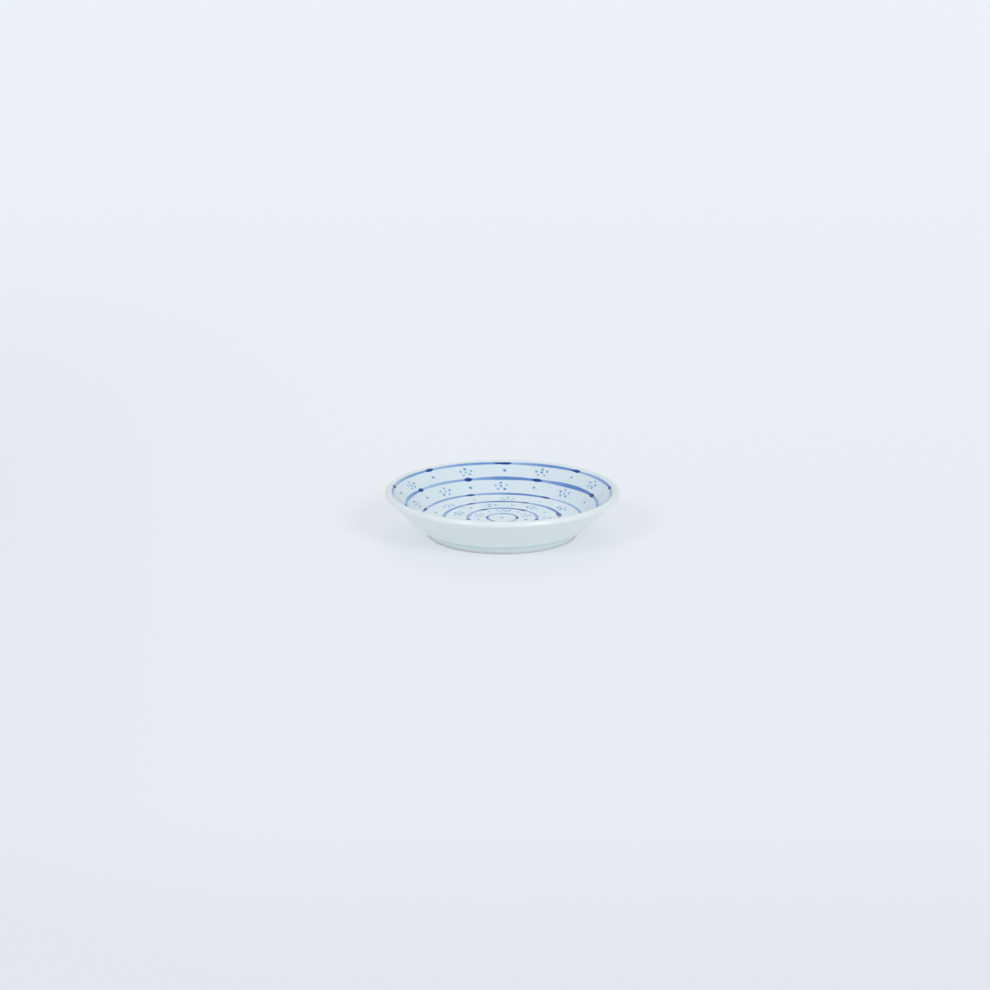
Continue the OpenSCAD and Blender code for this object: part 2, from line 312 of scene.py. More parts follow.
class Graph:
    """Adds nodes to one shader or geometry tree."""

    def __init__(self, tree):
        self.tree = tree

    def wire(self, made, name=None):
        """A node's output of that name, or its first."""
        usable = [s for s in made.outputs if s.enabled and name in (None, s.name)]
        return Wire(self, usable[0])

    def node(self, kind, settings=None, inputs=None, out=None):
        """A node of that type with its settings and the values or links of its sockets, as its output."""
        made = self.tree.nodes.new(kind)
        for name, value in (settings or {}).items():
            if name == "stops":
                self.set_stops(made.color_ramp, value)
            else:
                setattr(made, name, value)
        for name, value in (inputs or {}).items():
            socket = made.inputs[name] if isinstance(name, int) else self.socket_named(made, name)
            if isinstance(value, Wire):
                self.tree.links.new(value.socket, socket)
            else:
                socket.default_value = value
        return self.wire(made, out)

    def socket_named(self, made, name):
        """The input of that name that is in use: some nodes have one of the same name for each type."""
        return next(s for s in made.inputs if s.enabled and s.name == name)

    def set_stops(self, ramp, stops):
        while len(ramp.elements) > 1:
            ramp.elements.remove(ramp.elements[-1])
        for place, (at, colour) in enumerate(stops):
            stop = ramp.elements[0] if place == 0 else ramp.elements.new(at)
            stop.position = at
            stop.color = (*colour, 1)

    def math(self, operation, *values):
        return self.node("ShaderNodeMath", {"operation": operation}, dict(enumerate(values)))

    def vector_math(self, operation, *values):
        return self.node("ShaderNodeVectorMath", {"operation": operation}, dict(enumerate(values)))

    def vector(self, x, y, z):
        return self.node("ShaderNodeCombineXYZ", None, {"X": x, "Y": y, "Z": z})

    def parts(self, vector):
        split = self.node("ShaderNodeSeparateXYZ", None, {"Vector": vector}, "X")
        return split, split.out("Y"), split.out("Z")

    def fade(self, value, start, end):
        """0 before start and 1 after end, with a smooth rise between them, or the other way round."""
        settings = {"interpolation_type": "SMOOTHSTEP", "clamp": True}
        if start <= end:
            span = {"From Min": start, "From Max": end, "To Min": 0.0, "To Max": 1.0}
        else:
            span = {"From Min": end, "From Max": start, "To Min": 1.0, "To Max": 0.0}
        return self.node("ShaderNodeMapRange", settings, {"Value": value, **span}, "Result")

    def mix(self, share, a, b):
        return self.node("ShaderNodeMix", {"data_type": "FLOAT"}, {"Factor": share, "A": a, "B": b})

    def tint(self, share, a, b, blend="MIX"):
        settings = {"data_type": "RGBA", "blend_type": blend, "clamp_factor": True}
        return self.node("ShaderNodeMix", settings, {"Factor": share, "A": a, "B": b})


class Shader(Graph):
    """A material's nodes round one glossy shader."""

    def __init__(self, name):
        self.material = bpy.data.materials.new(name)
        self.material.use_nodes = True
        super().__init__(self.material.node_tree)
        self.surface = self.tree.nodes["Principled BSDF"]

    def place(self):
        """Object coordinates in millimetres."""
        spot = self.node("ShaderNodeTexCoord", None, None, "Object")
        return self.vector_math("MULTIPLY", spot, (1 / MM, 1 / MM, 1 / MM))

    def noise(self, place, scale, detail, roughness=0.5):
        inputs = {"Vector": place, "Scale": scale, "Detail": detail, "Roughness": roughness}
        return self.node("ShaderNodeTexNoise", None, inputs, "Fac")

    def swing(self, place, scale, detail, roughness=0.5):
        """Noise that swings about nothing."""
        return self.noise(place, scale, detail, roughness) - 0.5

    def bump(self, height, strength, depth):
        inputs = {"Strength": strength, "Distance": depth, "Height": height}
        return self.node("ShaderNodeBump", None, inputs, "Normal")

    def attribute(self, name, out="Vector"):
        return self.node("ShaderNodeAttribute", {"attribute_name": name}, None, out)

    def set(self, **values):
        """Sets or links the shader's sockets, named with low lines for spaces."""
        for name, value in values.items():
            socket = self.surface.inputs[name.replace("_", " ")]
            if isinstance(value, Wire):
                self.tree.links.new(value.socket, socket)
            else:
                socket.default_value = value


# Colours of the fired coat: in the well, on the wall, on the lip, on the outside and low down on it, where
# it is paler as painted bounce light from the table, on the foot, where it pooled at the top of the foot,
# darker there partly as painted shade of the crease, and in an iron speck
GLAZE_WELL = (0.745, 0.840, 0.882, 1)
GLAZE_WALL = (0.676, 0.782, 0.850, 1)
GLAZE_LIP = (0.752, 0.816, 0.834, 1)
GLAZE_OUTSIDE = (0.748, 0.832, 0.814, 1)
GLAZE_LOW = (0.795, 0.905, 0.915, 1)
GLAZE_FOOT = (0.715, 0.822, 0.838, 1)
GLAZE_POOL = (0.705, 0.835, 0.845, 1)
SPECK_BROWN = (0.30, 0.24, 0.18, 1)

# Where those colours begin and are full, in millimetres above the table
FOOT_TOP = FOOT_H / MM
LOW_RANGE = (FOOT_TOP + 4, FOOT_TOP)
FOOT_RANGE = (FOOT_TOP + 0.5, FOOT_TOP - 0.2)
POOL_RANGE = (FOOT_TOP - 1.4, FOOT_TOP - 0.1)

# The flush of cobalt in the coat towards the wall, and its clouds. All pattern scales are per millimetre.
FLUSH_LEAST = 0.1
FLUSH_STRENGTH = 0.8
CLOUD_SCALE = 0.045
CLOUD_STRENGTH = 0.8

# Rare specks: the cells they lie in, how near the middle of a cell, and in which share of the cells
SPECK_SCALE = 0.22
SPECK_RANGE = (0.036, 0.018)
SPECK_RARITY = (0.95, 0.96)
SPECK_STRENGTH = 0.6

# Gloss of the coat, its faint waves and its duller smears
WAVE_SCALE = 0.16
WAVE_STRENGTH = 0.05
WAVE_DEPTH = 0.4 * MM
GLAZE_ROUGHNESS = 0.09
SMEAR_SCALE = 0.11
SMEAR_ROUGHNESS = 0.05
GLAZE_IOR = 1.5


def porcelain_colour(shader, place):
    """Clear glaze over white clay: flushed blue inside, whiter on the lip, greener outside, with specks. Low
    on the outside it is paler as painted bounce light from the table, and above the foot darker partly as
    painted crease shade.
    """
    z = shader.parts(place)[2]
    reach = shader.attribute("reach", "Fac")
    flush = shader.fade(reach, FLOOR_R / MM, reach_to(COVE_TOP_R) / MM)
    clouds = shader.swing(place, CLOUD_SCALE, detail=3.0)
    flush = flush * FLUSH_STRENGTH + clouds * CLOUD_STRENGTH + FLUSH_LEAST
    colour = shader.tint(flush, GLAZE_WELL, GLAZE_WALL)
    colour = shader.tint(shader.fade(reach, LIP_REACH / MM, CROWN_REACH / MM), colour, GLAZE_LIP)
    outside = shader.fade(reach, LIP_FRONT_REACH / MM, BROW_REACH / MM)
    # Paler low on the outside: painted bounce light from the table
    low = shader.fade(z, *LOW_RANGE)
    colour = shader.tint(outside, colour, shader.tint(low, GLAZE_OUTSIDE, GLAZE_LOW))
    on_foot = outside * shader.fade(z, *FOOT_RANGE)
    colour = shader.tint(on_foot, colour, GLAZE_FOOT)
    # Darker where the glaze pooled at the top of the foot: partly its own colour, partly painted shade of
    # the crease
    pooled = on_foot * shader.fade(z, *POOL_RANGE)
    colour = shader.tint(pooled, colour, GLAZE_POOL)
    cells = shader.node("ShaderNodeTexVoronoi", None, {"Vector": place, "Scale": SPECK_SCALE}, "Distance")
    chosen = shader.parts(cells.out("Color"))[0]
    speck = shader.fade(cells, *SPECK_RANGE) * shader.fade(chosen, *SPECK_RARITY)
    return shader.tint(speck * SPECK_STRENGTH, colour, SPECK_BROWN)


def glazed(shader, place, colour):
    """Finishes a surface under the coat: gloss with duller smears, and the faint waves of a fired glaze."""
    shader.set(
        Base_Color=colour,
        Roughness=GLAZE_ROUGHNESS + shader.noise(place, SMEAR_SCALE, detail=4.0) * SMEAR_ROUGHNESS,
        Normal=shader.bump(shader.noise(place, WAVE_SCALE, detail=2.0), WAVE_STRENGTH, WAVE_DEPTH),
        IOR=GLAZE_IOR,
    )
    return shader.material


def clear_glaze():
    """The coat where nothing is painted under it."""
    shader = Shader("clear_glaze")
    place = shader.place()
    return glazed(shader, place, porcelain_colour(shader, place))


# Bare clay: its colours, its warm patches, its grain, and the soil on its lowest part
CLAY_COOL = (0.76, 0.78, 0.77, 1)
CLAY_WARM = (0.77, 0.74, 0.68, 1)
CLAY_GRAIN = (0.48, 0.45, 0.41, 1)
CLAY_SOIL = (0.36, 0.34, 0.31, 1)
PATCH_SCALE = 0.25
PATCH_RANGE = (0.4, 0.65)
GRAIN_SCALE = 3.2
GRAIN_RANGE = (0.55, 0.75)
GRAIN_STRENGTH = 0.35
GRAIN_BUMP = 0.5
GRAIN_DEPTH = 0.12 * MM
SOIL_HEIGHT = (0.35, 0.0)
SOIL_RANGE = (0.55, 0.95)
SOIL_GRAIN = 0.5
SOIL_STRENGTH = 0.45
CLAY_ROUGHNESS = 0.72
GRAIN_ROUGHNESS = 0.2


def bare_clay():
    """Unglazed porcelain: warm white, fine grained, soiled along the standing edge."""
    shader = Shader("bare_clay")
    place = shader.place()
    z = shader.parts(place)[2]
    grain = shader.noise(place, GRAIN_SCALE, detail=5.0, roughness=0.7)
    patches = shader.noise(place, PATCH_SCALE, detail=3.0)
    colour = shader.tint(shader.fade(patches, *PATCH_RANGE), CLAY_COOL, CLAY_WARM)
    colour = shader.tint(shader.fade(grain, *GRAIN_RANGE) * GRAIN_STRENGTH, colour, CLAY_GRAIN)
    soil = shader.fade(z, *SOIL_HEIGHT) * shader.fade(patches + grain * SOIL_GRAIN, *SOIL_RANGE)
    colour = shader.tint(soil * SOIL_STRENGTH, colour, CLAY_SOIL)
    shader.set(
        Base_Color=colour,
        Roughness=CLAY_ROUGHNESS + grain * GRAIN_ROUGHNESS,
        Normal=shader.bump(grain, GRAIN_BUMP, GRAIN_DEPTH),
    )
    return shader.material


# How much light each strength of cobalt leaves, from bare glaze to a pooled knot
PIGMENT = [
    (0.00, (1.000, 1.000, 1.000)),
    (0.25, (0.515, 0.665, 0.905)),
    (0.50, (0.190, 0.345, 0.700)),
    (0.75, (0.060, 0.155, 0.500)),
    (1.00, (0.010, 0.036, 0.250)),
]

# Marks of the brush's hairs along and across a stroke, and the blots in it
HAIR_ALONG = 0.16
HAIR_ACROSS = 3.0
HAIR_STRENGTH = 0.30
BLOT_SCALE = 0.7
BLOT_STRENGTH = 0.14

# The ragged edge of a stroke, in shares of its half width
STROKE_BLOTS = 0.36
STROKE_EDGE = (1.06, 0.66)

# Strength of a stroke where the brush is dry and where it is full, what its load and the knot's depth add to
# that, how fast it is spent, and what pressure adds in mid stroke
DRY_STRENGTH = 0.22
DRY_LOAD = 0.13
FULL_STRENGTH = 0.40
FULL_LOAD = 0.24
FULL_LEAST = 0.4
FULL_DEPTH = 0.6
SPENDING = 1.7
PRESSURE = 0.17

# How cobalt pools in a knot: less towards the sides of the stroke, with blots at its edge and hairs in it
KNOT_SIDES = 0.20
KNOT_BLOTS = 0.40
KNOT_EDGE = (1.20, 0.65)
KNOT_HAIRS = 0.16

# Cobalt in a dab: its blots, how it tapers, its soft edge, its paler tail, and how much the load changes it
DAB_BLOT_SCALE = 1.1
DAB_TAPER = 0.30
DAB_BLOTS = 0.5
DAB_EDGE = (1.45, 0.45)
TAIL_RANGE = (1.0, -0.5)
DAB_LOAD = 0.30
MEAN_LOAD = 0.5


def painted(shader, place, strength):
    """Finishes a brushed mark: the porcelain colour stained by cobalt of a strength from 0 to 1."""
    stain = shader.node("ShaderNodeValToRGB", {"stops": PIGMENT}, {"Fac": strength}, "Color")
    return glazed(shader, place, shader.tint(1.0, porcelain_colour(shader, place), stain, "MULTIPLY"))


def brushed_band():
    """Cobalt drawn round the plate in strokes that darken towards the knot where the brush was lifted."""
    shader = Shader("cobalt_wash")
    place = shader.place()
    phase, knot, load = shader.parts(shader.attribute("stroke"))
    aside, half, tone = shader.parts(shader.attribute("width"))
    depth = shader.attribute("depth", "Fac")
    x, y = shader.parts(place)[:2]
    drawn = shader.vector(x * HAIR_ALONG, y * HAIR_ALONG, aside * HAIR_ACROSS)
    hairs = shader.swing(drawn, 1.0, detail=3.0, roughness=0.6)
    blots = shader.swing(place, BLOT_SCALE, detail=3.0)
    across = shader.math("ABSOLUTE", aside) / half
    edge = shader.fade(across + blots * STROKE_BLOTS, *STROKE_EDGE)
    dry = DRY_STRENGTH + load * DRY_LOAD
    full = (FULL_STRENGTH + load * FULL_LOAD) * (FULL_LEAST + depth * FULL_DEPTH)
    spent = shader.mix((1 - phase) ** SPENDING, dry, full)
    pressed = shader.math("SINE", phase * pi) * load * PRESSURE
    wash = spent + pressed + tone + hairs * HAIR_STRENGTH + blots * BLOT_STRENGTH
    pooled = shader.fade(knot + across * across * KNOT_SIDES + blots * KNOT_BLOTS, *KNOT_EDGE)
    strength = shader.mix(pooled, wash, depth + hairs * KNOT_HAIRS)
    return painted(shader, place, edge * strength)


def dabbed_dots(name, tail, heart):
    """Cobalt set down with the tip of the brush: soft edged, with a paler tail where the tip came down."""
    shader = Shader(name)
    place = shader.place()
    long, wide, load = shader.parts(shader.attribute("dab"))
    blots = shader.swing(place, DAB_BLOT_SCALE, detail=3.0)
    narrow = wide * (1 + long * DAB_TAPER)
    reach = shader.math("SQRT", long * long + narrow * narrow) + blots * DAB_BLOTS
    edge = shader.fade(reach, *DAB_EDGE)
    body = shader.mix(shader.fade(long + blots, *TAIL_RANGE), tail, heart)
    strength = body + (load - MEAN_LOAD) * DAB_LOAD
    return painted(shader, place, edge * strength)


class Tree(Graph):
    """A geometry tree with named inputs for its sizes, closed by Realize Instances and Set Material."""

    KINDS = {float: "NodeSocketFloat", int: "NodeSocketInt"}

    def __init__(self, name, sizes):
        super().__init__(bpy.data.node_groups.new(name, "GeometryNodeTree"))
        face = self.tree.interface
        face.new_socket("Geometry", in_out="OUTPUT", socket_type="NodeSocketGeometry")
        for size, kind in sizes.items():
            face.new_socket(size, in_out="INPUT", socket_type=self.KINDS.get(kind, kind))
        self.given = self.tree.nodes.new("NodeGroupInput")

    def size(self, name):
        """One of the tree's own inputs."""
        return self.wire(self.given, name)

    def section(self):
        """The curve that the plate's section follows."""
        inputs = {"Object": self.size("Section")}
        return self.node("GeometryNodeObjectInfo", {"transform_space": "ORIGINAL"}, inputs, "Geometry")

    def position(self):
        return self.node("GeometryNodeInputPosition")

    def store(self, geometry, name, value, kind="FLOAT"):
        settings = {"data_type": kind, "domain": "POINT"}
        inputs = {"Geometry": geometry, "Name": name, "Value": value}
        return self.node("GeometryNodeStoreNamedAttribute", settings, inputs)

    def stored(self, name, kind="FLOAT"):
        return self.node("GeometryNodeInputNamedAttribute", {"data_type": kind}, {"Name": name}, "Attribute")

    def ring(self, around, name):
        """A closed guide curve whose points carry their turn in radians, and are moved later."""
        inputs = {"Resolution": around, "Radius": GUIDE_R}
        circle = self.node("GeometryNodeCurvePrimitiveCircle", None, inputs)
        factor = self.node("GeometryNodeSplineParameter", None, None, "Factor")
        return self.store(circle, name, factor * TURN)

    def sweep(self, path, profile):
        return self.node("GeometryNodeCurveToMesh", None, {"Curve": path, "Profile Curve": profile})

    def chance(self, low, high, key, seed):
        """A number between two others that is drawn once for each key."""
        inputs = {"Min": low, "Max": high, "ID": key, "Seed": seed}
        return self.node("FunctionNodeRandomValue", {"data_type": "FLOAT"}, inputs)

    def round_the_axis(self, r, z, turn):
        """A point of the section turned about the axis, with the warp from the kiln."""
        share = z / PLATE_H
        saddle = WARP_LIFT * self.math("SINE", turn * 2 + SADDLE_LEAD)
        ripple = WARP_LIFT / 2 * self.math("SINE", turn * 3 + RIPPLE_LEAD)
        lift = share * share * (saddle + ripple)
        grow = share * WARP_GROW * self.math("SINE", turn * 2 + GROW_LEAD)
        wide = r * (1 + grow)
        return self.vector(wide * self.math("COSINE", turn), wide * self.math("SINE", turn), z + lift)

    def on_the_inside(self, reach, lift, turn):
        """A point at a distance along the section from the centre, lifted off the surface."""
        inputs = {"Curves": self.section(), "Length": reach}
        spot = self.node("GeometryNodeSampleCurve", {"mode": "LENGTH"}, inputs, "Position")
        r, _, z = self.parts(spot)
        along_r, _, along_z = self.parts(spot.out("Tangent"))
        return self.round_the_axis(r - along_z * lift, z + along_r * lift, turn)

    def ring_radius(self):
        """Plan radius of the ring that the tree's marks lie on."""
        return self.parts(self.on_the_inside(self.size("Reach"), 0.0, 0.0))[0]

    def move(self, geometry, position):
        return self.node("GeometryNodeSetPosition", None, {"Geometry": geometry, "Position": position})

    def drift(self, even):
        """How far the painter strayed from an even turn."""
        once = self.size("Drift") * self.math("SINE", even + self.size("Lead"))
        return once + self.size("Second drift") * self.math("SINE", even * 2 + self.size("Second lead"))

    def even_turn(self, turn):
        """The even turn that a place round the plate stands for, found by trying."""
        even = turn
        for _ in range(DRIFT_ROUNDS):
            even = turn - self.drift(even)
        return even

    def close(self, geometry):
        """Ends the tree: smooth faces, no instances, one material."""
        smooth = self.node("GeometryNodeSetShadeSmooth", None, {"Geometry": geometry, "Shade Smooth": True})
        whole = self.node("GeometryNodeRealizeInstances", None, {"Geometry": smooth})
        inputs = {"Geometry": whole, "Material": self.size("Material")}
        finish = self.node("GeometryNodeSetMaterial", None, inputs)
        result = self.tree.nodes.new("NodeGroupOutput")
        self.tree.links.new(finish.socket, result.inputs["Geometry"])
        return self.tree


SURFACE_SIZES = {"Section": "NodeSocketObject", "Material": "NodeSocketMaterial"}
RING_SIZES = {
    **SURFACE_SIZES,
    "Reach": float, "Repeats": int, "First": float, "Drift": float, "Lead": float, "Second drift": float,
    "Second lead": float, "Lift": float, "Seed": int,
}


def lathe_tree():
    """Turns a section about the axis."""
    tree = Tree("turned", {**SURFACE_SIZES, "Around": int})
    ring = tree.ring(tree.size("Around"), "turn")
    profile = tree.store(tree.section(), "spot", tree.position(), "FLOAT_VECTOR")
    length = tree.node("GeometryNodeSplineParameter", None, None, "Length")
    profile = tree.store(profile, "reach", length / MM)
    r, _, z = tree.parts(tree.stored("spot", "FLOAT_VECTOR"))
    turned = tree.move(tree.sweep(ring, profile), tree.round_the_axis(r, z, tree.stored("turn")))
    return tree.close(tree.node("GeometryNodeMergeByDistance", None, {"Geometry": turned, "Distance": WELD}))


def band_tree():
    """A ring of brush strokes as a thin lens of glaze: narrow beside each knot, wider in mid stroke."""
    sizes = {
        **RING_SIZES, "Around": int, "Thin": float, "Swell": float, "Knot width": float,
        "Knot length": float, "Knot turn": float, "Trail": float, "Tone": float, "Depth": float,
        "Meander": float, "Off centre": float, "Off bearing": float,
    }
    tree = Tree("brushed_band", sizes)
    skin = tree.sweep(tree.ring(tree.size("Around"), "turn"), tree.ring(LENS_POINTS, "round"))
    turn = tree.stored("turn")
    around = tree.stored("round")
    seed = tree.size("Seed")

    # Place in the stroke: 0 at the knot that ends it, 1 at the knot behind it
    step = (tree.even_turn(turn - tree.size("Knot turn")) - tree.size("First")) * tree.size("Repeats") / TURN
    phase = tree.math("FRACT", step)
    stroke = tree.math("FLOORED_MODULO", tree.math("FLOOR", step + STROKE_NUDGE), tree.size("Repeats"))
    nearest = tree.math("ROUND", step)
    knot = tree.math("FLOORED_MODULO", nearest, tree.size("Repeats"))
    load = tree.chance(0.0, 1.0, stroke, seed)
    trail = tree.chance(0.0, 1.0, knot, seed + KNOT_SEED)
    past = (step - nearest) * TURN / tree.size("Repeats") * tree.ring_radius()
    short = tree.size("Knot length") * KNOT_REACH
    trailing = tree.size("Knot length") * (KNOT_REACH + tree.size("Trail") * trail)
    reaching = tree.mix(tree.math("GREATER_THAN", past, 0.0), short, trailing)
    from_knot = tree.math("ABSOLUTE", past) / reaching

    # Half width that shows
    swell = tree.math("SINE", phase * pi) * (SWELL_DRY + SWELL_LOAD * load)
    wash = tree.size("Thin") + tree.size("Swell") * swell
    blunt = 1 - tree.math("MINIMUM", from_knot, 1.0) ** KNOT_BLUNTNESS
    bulge = tree.size("Knot width") * (KNOT_WIDEST - KNOT_THINNING * trail) * blunt
    half = tree.math("SMOOTH_MAX", wash, bulge, KNOT_BLEND)

    # The unsteady line that the ring follows, and the sunk lens that carries the paint along it
    slow = tree.math("SINE", turn * SLOW_WAVES + seed)
    quick = tree.math("SINE", turn * QUICK_WAVES + seed * 2)
    meander = tree.size("Meander") * (slow + QUICK_SHARE * quick)
    stray = tree.size("Off centre") * tree.math("COSINE", turn - tree.size("Off bearing"))
    aside = tree.math("COSINE", around) * (half + PAINT_MARGIN) / SHOWN_SHARE
    height = (tree.math("SINE", around) * 2 - 1) * tree.size("Lift")
    reach = tree.size("Reach") + meander + stray + aside
    skin = tree.store(skin, "stroke", tree.vector(phase, from_knot, load), "FLOAT_VECTOR")
    skin = tree.store(skin, "width", tree.vector(aside / MM, half / MM, tree.size("Tone")), "FLOAT_VECTOR")
    skin = tree.store(skin, "depth", tree.size("Depth"))
    skin = tree.store(skin, "reach", reach / MM)
    return tree.close(tree.move(skin, tree.on_the_inside(reach, height, turn)))


def dab_tree():
    """Groups of brush dabs in a ring: each is one dab, or a heart with petals round it."""
    sizes = {
        **RING_SIZES, "Step share": float, "Petals": int, "Dab length": float, "Dab width": float,
        "Across": float, "Up": float, "Loose": float,
    }
    tree = Tree("dabs", sizes)
    seed = tree.size("Seed")
    loose = tree.size("Loose")
    each = tree.size("Petals") + 1
    index = tree.node("GeometryNodeInputIndex")
    group = tree.math("FLOOR", (index + 0.5) / each)
    petal = index - group * each
    is_petal = tree.math("MINIMUM", petal, 1.0)
    bearing = (petal - 1) * TURN / tree.math("MAXIMUM", tree.size("Petals"), 1.0)
    bearing = bearing + tree.chance(-BLOSSOM_LEAN, BLOSSOM_LEAN, group, seed)
    up = is_petal * tree.size("Up") * tree.math("COSINE", bearing)
    up = up + tree.chance(-1.0, 1.0, index, seed + UP_SEED) * loose
    across = is_petal * tree.size("Across") * tree.math("SINE", bearing)
    across = across + tree.chance(-1.0, 1.0, index, seed + ACROSS_SEED) * loose

    # The dabs are laid out on a flat chart: X along the ring, Y up the section, Z off the surface
    even = tree.size("First") + (group + tree.size("Step share")) * TURN / tree.size("Repeats")
    radius = tree.ring_radius()
    spot = tree.vector((even + tree.drift(even)) * radius + across, tree.size("Reach") + up, 0.0)
    points = tree.node("GeometryNodePoints", None, {"Count": tree.size("Repeats") * each, "Position": spot})
    points = tree.store(points, "load", tree.chance(0.0, 1.0, index, seed + LOAD_SEED))
    inputs = {"Segments": DAB_SEGMENTS, "Rings": DAB_RINGS, "Radius": 1.0}
    lens = tree.node("GeometryNodeMeshUVSphere", None, inputs, "Mesh")
    lens = tree.store(lens, "shape", tree.position(), "FLOAT_VECTOR")
    tilt = DAB_TILT + tree.chance(-TILT_SPREAD, TILT_SPREAD, index, seed + TILT_SEED)
    grown = tree.chance(SMALLEST_DAB, LARGEST_DAB, index, seed + GROWTH_SEED) * DAB_MARGIN
    long = tree.size("Dab length") * grown
    wide = tree.size("Dab width") * grown
    inputs = {
        "Points": points, "Instance": lens,
        "Rotation": tree.vector(0.0, 0.0, tilt), "Scale": tree.vector(long, wide, tree.size("Lift") * 2),
    }
    dabs = tree.node("GeometryNodeInstanceOnPoints", None, inputs)
    dabs = tree.node("GeometryNodeRealizeInstances", None, {"Geometry": dabs})
    along_dab, across_dab = tree.parts(tree.stored("shape", "FLOAT_VECTOR"))[:2]
    form = tree.vector(along_dab * DAB_MARGIN, across_dab * DAB_MARGIN, tree.stored("load"))
    dabs = tree.store(dabs, "dab", form, "FLOAT_VECTOR")

    # A dab at the very centre is laid out round it instead
    chart_x, chart_y, chart_z = tree.parts(tree.position())
    central = tree.math("LESS_THAN", radius, NEAR_CENTRE)
    from_centre = tree.math("SQRT", chart_x * chart_x + chart_y * chart_y)
    reach = tree.mix(central, chart_y, from_centre)
    along = chart_x / tree.math("MAXIMUM", radius, NEAR_CENTRE)
    turn = tree.mix(central, along, tree.math("ARCTAN2", chart_y, chart_x))
    dabs = tree.store(dabs, "reach", reach / MM)
    return tree.close(tree.move(dabs, tree.on_the_inside(reach, chart_z - tree.size("Lift"), turn)))


def section_curve(name, points, closed):
    """A curve in the plane of the section, X from the axis and Z up."""
    data = bpy.data.curves.new(name, "CURVE")
    data.dimensions = "3D"
    spline = data.splines.new("POLY")
    spline.points.add(len(points) - 1)
    for point, (r, z) in zip(spline.points, points):
        point.co = (r, 0, z, 1)
    spline.use_cyclic_u = closed
    curve = bpy.data.objects.new(name, data)
    scene.collection.objects.link(curve)
    return curve


def face_outwards(mesh):
    work = bmesh.new()
    work.from_mesh(mesh)
    bmesh.ops.recalc_face_normals(work, faces=work.faces)
    work.to_mesh(mesh)
    work.free()


def piece(name, tree, values, slot, *nodes):
    """Runs a geometry tree, keeps its result as a plain closed mesh and puts it in place of CAD nodes."""
    made = bpy.data.objects.new(name, bpy.data.meshes.new(name))
    scene.collection.objects.link(made)
    build = made.modifiers.new("build", "NODES")
    build.node_group = tree
    for socket in tree.interface.items_tree:
        if socket.in_out == "INPUT":
            build[socket.identifier] = values[socket.name]
    graph = bpy.context.evaluated_depsgraph_get()
    mesh = bpy.data.meshes.new_from_object(made.evaluated_get(graph))
    made.modifiers.clear()
    made.data = mesh
    mesh.name = name
    face_outwards(mesh)
    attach(made, "root")
    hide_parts(*nodes)


# Materials
glaze = clear_glaze()
wash_paint = brushed_band()
dot_paint = dabbed_dots("cobalt_dots", tail=0.24, heart=0.47)
centre_paint = dabbed_dots("cobalt_centre", tail=0.30, heart=0.36)
clay = bare_clay()

# The plate and its bare standing edge
plate_section = section_curve("plate_section", glazed_section(), closed=False)
foot_section = section_curve("foot_section", bare_foot_section(), closed=True)
lathe = lathe_tree()
piece(
    "glazed_plate", lathe, {"Section": plate_section, "Material": glaze, "Around": AROUND},
    "clear_glaze", "clay_body", "inside_glaze", "outside_glaze", "base_glaze",
)
piece(
    "foot_edge", lathe, {"Section": foot_section, "Material": clay, "Around": AROUND},
    "bare_clay", "foot_ring",
)


def ring_values(ring, reach, material):
    """What the marks of one ring share: where it lies, its paint and the painter's rhythm."""
    return {
        "Section": plate_section, "Material": material, "Reach": reach, "Repeats": REPEATS[ring],
        "First": radians(FIRST_TURN[ring]), "Drift": radians(SPACING_DRIFT[ring]),
        "Lead": radians(DRIFT_LEAD[ring]), "Second drift": radians(SECOND_DRIFT[ring]),
        "Second lead": radians(SECOND_LEAD[ring]), "Lift": PAINT_LIFT, "Seed": SEED[ring],
    }


# Brushed bands with their knots
brush = band_tree()
for ring, (name, thin, swell, knot, knot_half, trail, tone, depth, off, bearing) in enumerate(BANDS):
    strokes = {
        **ring_values(ring, reach_to(BAND_R[ring]), wash_paint),
        "Around": BAND_AROUND, "Thin": thin * MM, "Swell": swell * MM,
        "Knot width": knot * MM, "Knot length": knot_half * MM, "Knot turn": radians(KNOT_TURN[ring]),
        "Trail": trail, "Tone": tone, "Depth": depth, "Meander": MEANDER * sqrt(BAND_R[ring] / RIM_R),
        "Off centre": off * MM, "Off bearing": radians(bearing),
    }
    piece(name + "_strokes", brush, strokes, "cobalt_wash", name, name + "_knots")

# Blossoms half way between single dots, zone by zone, and the dab at the centre
dabs = dab_tree()
for zone, (name, petal_half) in enumerate(ZONES.items()):
    blossoms = {
        **ring_values(zone, reach_to(ZONE_R[zone]), dot_paint),
        "Step share": 0.5, "Petals": PETALS, "Dab length": petal_half, "Dab width": petal_half * SLIMNESS,
        "Across": BLOSSOM_ACROSS, "Up": BLOSSOM_UP, "Loose": BLOSSOM_LOOSE,
    }
    piece(name + "_blossom_dabs", dabs, blossoms, "cobalt_dots", name + "_blossoms")
    singles = {
        **blossoms,
        "Step share": 0.0, "Petals": 0, "Dab length": SINGLE_HALF, "Dab width": SINGLE_HALF * SLIMNESS,
    }
    piece(name + "_dot_dabs", dabs, singles, "cobalt_dots", name + "_dots")
centre = {
    **ring_values(CENTRE_RING, 0.0, centre_paint), "Repeats": 1, "Step share": 0.0, "Petals": 0,
    "Dab length": CENTRE_LONG, "Dab width": CENTRE_WIDE, "Across": 0.0, "Up": 0.0, "Loose": 0.0,
}
piece("centre_dab", dabs, centre, "cobalt_dark", "centre_dot")

for curve in (plate_section, foot_section):
    bpy.data.objects.remove(curve)
